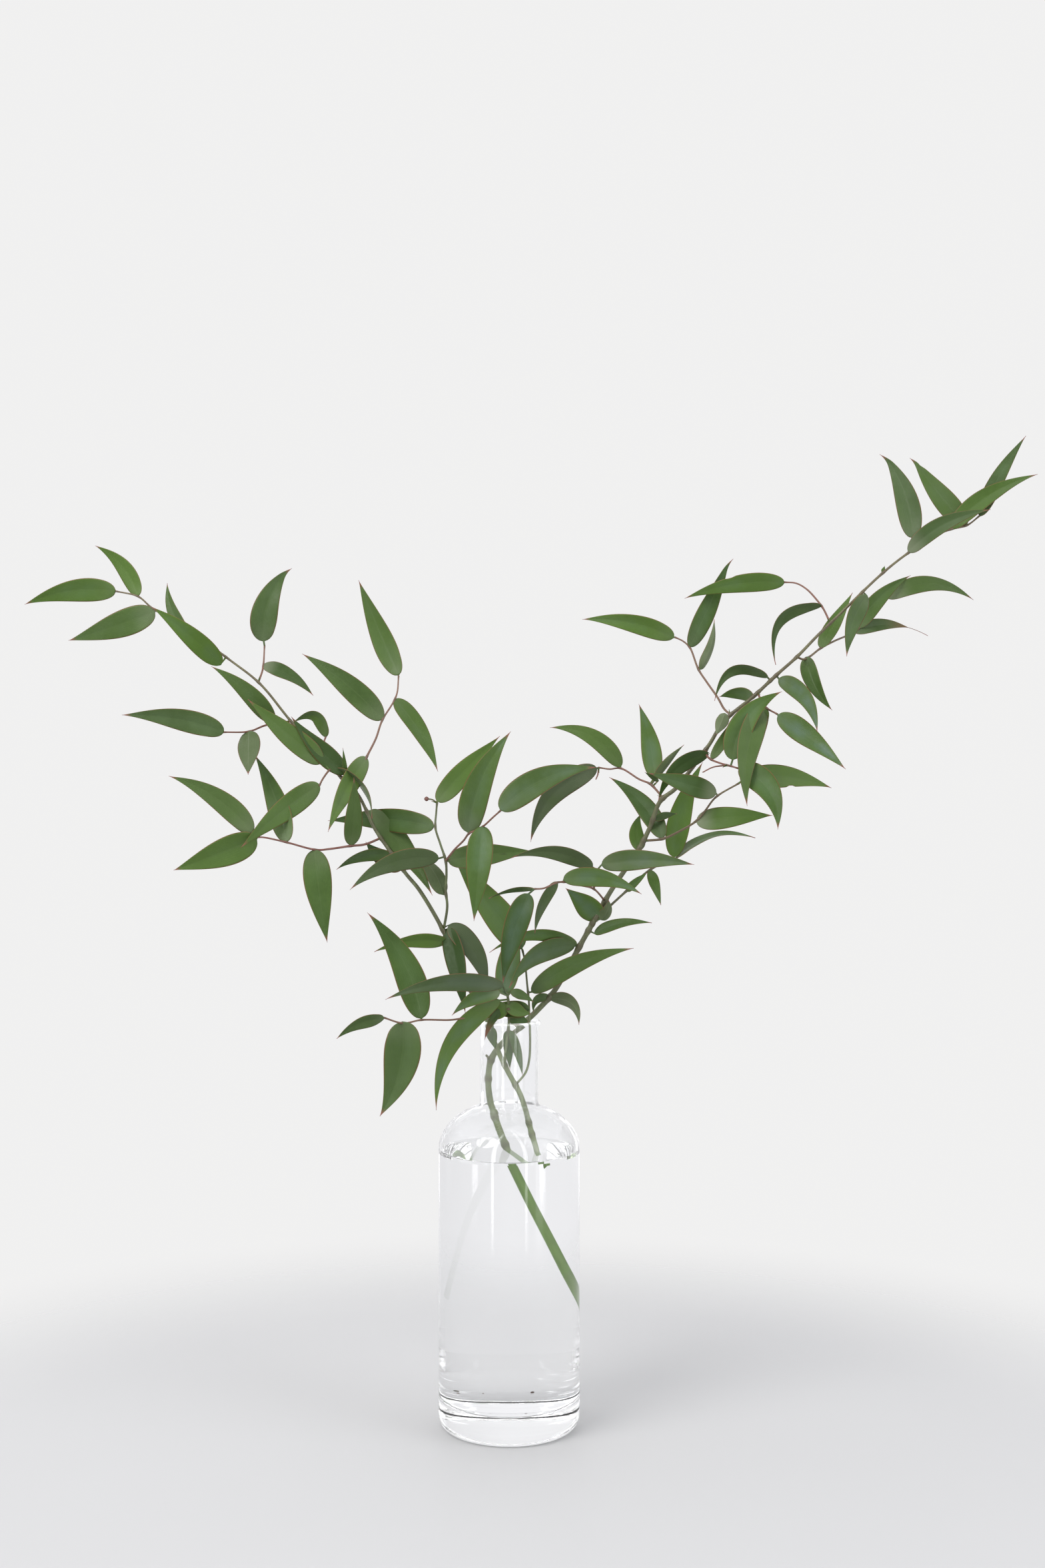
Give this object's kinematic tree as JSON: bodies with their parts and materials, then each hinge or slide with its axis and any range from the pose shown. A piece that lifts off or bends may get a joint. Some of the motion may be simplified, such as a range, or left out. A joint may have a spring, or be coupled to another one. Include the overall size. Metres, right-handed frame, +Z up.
{
  "type": "leafy branches in a glass bottle vase",
  "caption": "Two cut green leafy branches fanning out left and right from the narrow neck of a clear glass bottle vase with water.",
  "frame": {"origin": "centre of the bottle's flat underside, on the surface it stands on", "axes": "+Z up along the bottle's axis, -Y towards the front, +X to the right, the side of the longer branch"},
  "size_m": [0.6506, 0.1547, 0.6303],
  "materials": {
    "glass": "clear, polished",
    "water": "clear liquid",
    "foliage": "satin leaves, matt stems"
  },
  "bodies": {
    "root": {"bottle": "glass", "water": "water", "left_branch": "foliage", "right_branch": "foliage"}
  },
  "joints": []
}
